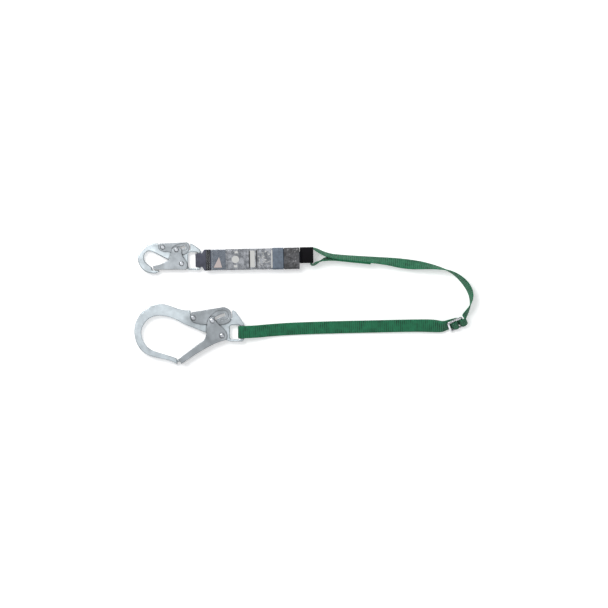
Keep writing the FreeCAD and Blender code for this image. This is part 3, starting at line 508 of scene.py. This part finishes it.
# The sleeve's top face near its open end: its height in mm at x 0 and its rise along x.
SLEEVE_HEIGHT = 16.75
SLEEVE_SLOPE = 0.19
ZIGZAG_MIDDLE = 0.0183
ZIGZAG_ROWS = (0.0162, 0.0203)
ZIGZAG_STITCHES = 22
ZIGZAG_STEP = 0.0018
ZIGZAG_START = -0.0188
ZIGZAG_LEAN = 38


def on_sleeve(x, y, above):
    return PACK_TURN @ Vector((x, y, (SLEEVE_HEIGHT + SLEEVE_SLOPE * x / MM) * MM + above))


def sleeve_zigzag():
    """Two zigzag rows of pale thread on a dark band across the sleeve's open end."""
    slope = Matrix.Rotation(-math.atan(SLEEVE_SLOPE), 4, "Y")
    turn = PACK_TURN.to_3x3().to_4x4() @ slope
    band, thread = bmesh.new(), bmesh.new()
    box_mesh(band, on_sleeve(ZIGZAG_MIDDLE, 0, 0.00105), (0.0086, 0.0405, 0.0004), turn)
    for row in ZIGZAG_ROWS:
        for k in range(ZIGZAG_STITCHES):
            lean = ZIGZAG_LEAN if k % 2 else -ZIGZAG_LEAN
            spot = on_sleeve(row, ZIGZAG_START + ZIGZAG_STEP * k, 0.0014)
            box_mesh(thread, spot, (0.0024, 0.0005, 0.0005),
                     turn @ Matrix.Rotation(math.radians(lean), 4, "Z"))
    finished("sleeve_band", band, ROOT, "cover_fabric", 0.0001)
    item = finished("sleeve_zigzag", thread, ROOT, "thread", 0.0001, WHITE_THREAD)
    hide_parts("sleeve_stitching")


def rounded_copy(node, width, segments=3):
    """A CAD node with its sharp edges rounded, shown in its place."""
    source = NODES[node]
    mesh = bmesh.new()
    mesh.from_mesh(source.data)
    bmesh.ops.remove_doubles(mesh, verts=mesh.verts, dist=0.00001)
    bmesh.ops.dissolve_limit(mesh, angle_limit=math.radians(1.0), verts=mesh.verts,
                             edges=mesh.edges)
    item = finished(node + "_shown", mesh, source["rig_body"], RECORD_SLOTS[node])
    smooth(item.data)
    rounding = item.modifiers.new("rounding", "BEVEL")
    rounding.width = width
    rounding.segments = segments
    rounding.limit_method = "ANGLE"
    rounding.angle_limit = math.radians(40)
    rounding.harden_normals = True
    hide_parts(node)


# ---------------------------------------------------------------- the pack's wraps
# The pack's section under its film, mm.
PACK_HALF_WIDTH = 22.0
PACK_LOW = 0.8
PACK_HIGH = 22.4
PACK_CORNER = 4.5
LOOP_STEP = 1.5
ROW_STEP = 1.3
SKIN_THICK = 0.00035


def wrap_tube(name, node, start, end, grow, wrinkle, frequency, slot, seed):
    """A film tube round the pack: a rounded box swept along it, crumpled by smooth noise."""
    half, low, high = PACK_HALF_WIDTH + grow, PACK_LOW - grow, PACK_HIGH + grow
    radius = PACK_CORNER + grow
    outline = []
    for cx, cz, turn in ((half - radius, high - radius, 0), (radius - half, high - radius, 90),
                         (radius - half, low + radius, 180), (half - radius, low + radius, 270)):
        for step in range(7):
            a = math.radians(turn + step * 15)
            outline.append(Vector((cx + radius * math.cos(a), cz + radius * math.sin(a))))
    loop = []
    for a, b in zip(outline, outline[1:] + outline[:1]):
        pieces = max(1, round((b - a).length / LOOP_STEP))
        loop += [a.lerp(b, k / pieces) for k in range(pieces)]
    rows = max(3, round((end - start) / ROW_STEP))
    middle = Vector((0.0, (low + high) / 2))
    points, faces = [], []
    for i in range(rows + 1):
        x = start + (end - start) * i / rows
        fall = min(1.0, 3 * min(i, rows - i) / rows)
        for y, z in loop:
            crease = noise.noise(Vector((x * frequency, y * frequency * 0.6, z + seed)))
            inward = (Vector((y, z)) - middle).normalized()
            shift = -abs(crease) * wrinkle * fall
            points.append(PACK_TURN @ (Vector((x, y + inward.x * shift, z + inward.y * shift)) * MM))
    n = len(loop)
    for i in range(rows):
        for j in range(n):
            k = (j + 1) % n
            faces.append((i * n + j, i * n + k, (i + 1) * n + k, (i + 1) * n + j))
    mesh = bpy.data.meshes.new(name)
    mesh.from_pydata(points, [], faces)
    smooth(mesh)
    item = linked(name, mesh, ROOT, slot)
    skin = item.modifiers.new("skin", "SOLIDIFY")
    skin.thickness = SKIN_THICK
    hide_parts(node)


def label_marks():
    """Generic label: stripes, pale blocks, flecks and a film tab, and a pale disc and blobs that are a
    painted reflection on the film. No lettering.
    """
    top = 22.55
    plain = [("label_pale_block", PRINT_AND_REFLECTION_WHITE, (109.0, 0.5), (9.5, 34.0)),
             ("label_stripe_1", LABEL_BLACK, (102.8, 0.0), (2.2, 36.0)),
             ("label_stripe_2", LABEL_BLACK, (117.4, 0.0), (2.2, 36.0)),
             ("label_light_edge", PRINT_AND_REFLECTION_WHITE, (148.6, 0.0), (2.6, 36.0)),
             # Painted reflection: two pale blobs where light glints off the film.
             ("painted_reflection_blob_1", PRINT_AND_REFLECTION_WHITE, (76.0, 14.5), (7.0, 4.0)),
             ("painted_reflection_blob_2", PRINT_AND_REFLECTION_WHITE, (74.5, -14.0), (6.5, 4.5))]
    for name, material, (x, y), (length, width) in plain:
        mesh = bmesh.new()
        box_mesh(mesh, PACK_TURN @ (Vector((x, y, top)) * MM),
                 (length * MM, width * MM, 0.00012), PACK_TURN.to_3x3().to_4x4())
        finished(name, mesh, ROOT, "label_sheet", 0.00004, material)
    # Painted reflection: a pale disc where light glints off the film over the label.
    disc = bmesh.new()
    bmesh.ops.create_cone(disc, cap_ends=True, segments=40, radius1=0.0076, radius2=0.0076,
                          depth=0.00014, matrix=PACK_TURN @ Matrix.Translation((0.0742, 0.0, top * MM)))
    finished("painted_reflection_disc", disc, ROOT, "label_sheet", 0.00004, PRINT_AND_REFLECTION_WHITE)
    flecks = bmesh.new()
    for _ in range(34):
        x, y = random.uniform(121.0, 145.0), random.uniform(-16.0, 16.0)
        size = (random.uniform(1.5, 4.5) * MM, random.uniform(0.7, 2.0) * MM, 0.00012)
        box_mesh(flecks, PACK_TURN @ (Vector((x, y, top)) * MM), size,
                 PACK_TURN.to_3x3().to_4x4())
    finished("label_flecks", flecks, ROOT, "label_sheet", 0.00003, PRINT_AND_REFLECTION_WHITE)
    tab = bmesh.new()
    corners = [tab.verts.new(PACK_TURN @ (Vector((x, y, 22.56)) * MM))
               for x, y in ((40.8, 5.6), (29.3, -16.0), (46.6, -16.0))]
    tab.faces.new(corners)
    item = finished("film_tab", tab, ROOT, "label_sheet", 0.0, TAB_PINK)
    item.modifiers.new("skin", "SOLIDIFY").thickness = 0.0002


# ---------------------------------------------------------------- build
pack_tail, buckle_tail = green_straps()
strap_stitches("loop_stitches", pack_tail, 0.52, 0.93, 7, ["loop_bar_tacks"])
strap_stitches("buckle_stitches", buckle_tail, 0.72, 0.93, 5, ["buckle_bar_tacks"])
sleeve_zigzag()
wrap_tube("film_shown", "pack_film", 23.8, 149.7, 0.0, 0.35, 0.10, "clear_film", 3.0)
wrap_tube("label_shown", "label_wrap", 54.3, 149.6, -0.55, 0.25, 0.10, "label_sheet", 9.0)
wrap_tube("band_shown", "pack_band", 149.8, 172.2, 0.55, 0.3, 0.12, "band_plastic", 5.0)
wrap_tube("end_wrap_shown", "end_wrap", 173.4, 205.0, 0.3, 2.2, 0.30, "wrap_plastic", 1.0)
label_marks()
rounded_copy("end_cover", 0.0009)
rounded_copy("wear_sleeve", 0.0004, 2)

# ---------------------------------------------------------------- floor and light
floor_mesh = bmesh.new()
bmesh.ops.create_grid(floor_mesh, size=4.0)
floor_data = bpy.data.meshes.new("floor")
floor_mesh.to_mesh(floor_data)
floor_mesh.free()
floor = bpy.data.objects.new("floor", floor_data)
floor.location.z = -0.0006
floor_material, _, floor_shader = node_material("floor_white", (0.90, 0.90, 0.90), 0.9)
floor_shader.inputs["Emission Color"].default_value = (1.0, 1.0, 1.0, 1.0)
floor_shader.inputs["Emission Strength"].default_value = 0.42
floor.data.materials.append(floor_material)
bpy.context.scene.collection.objects.link(floor)


def area_light(name, place, target, size, power):
    data = bpy.data.lights.new(name, "AREA")
    data.size = size
    data.energy = power
    item = bpy.data.objects.new(name, data)
    item.location = place
    item.rotation_euler = (Vector(target) - Vector(place)).to_track_quat("-Z", "Y").to_euler()
    bpy.context.scene.collection.objects.link(item)


area_light("key", (-1.0, 1.2, 2.6), (0.15, 0.0, 0.0), 1.5, 62.0)
area_light("fill", (1.8, -1.0, 2.6), (0.15, 0.0, 0.0), 2.0, 8.0)
world = bpy.data.worlds.new("studio")
world.use_nodes = True
sky_tree = world.node_tree
sky = sky_tree.nodes["Background"]
sky.inputs["Strength"].default_value = 0.62
sky_place = sky_tree.nodes.new("ShaderNodeTexCoord")
sky_height = sky_tree.nodes.new("ShaderNodeSeparateXYZ")
sky_ramp = sky_tree.nodes.new("ShaderNodeValToRGB")
sky_ramp.color_ramp.elements[0].position = 0.45
sky_ramp.color_ramp.elements[0].color = (0.05, 0.055, 0.06, 1.0)
sky_ramp.color_ramp.elements[1].position = 0.92
sky_ramp.color_ramp.elements[1].color = (0.95, 0.97, 1.0, 1.0)
link(sky_tree, sky_place, "Generated", sky_height, "Vector")
link(sky_tree, sky_height, "Z", sky_ramp, "Fac")
link(sky_tree, sky_ramp, "Color", sky, "Color")
bpy.context.scene.world = world
bpy.context.scene.view_settings.view_transform = "Standard"
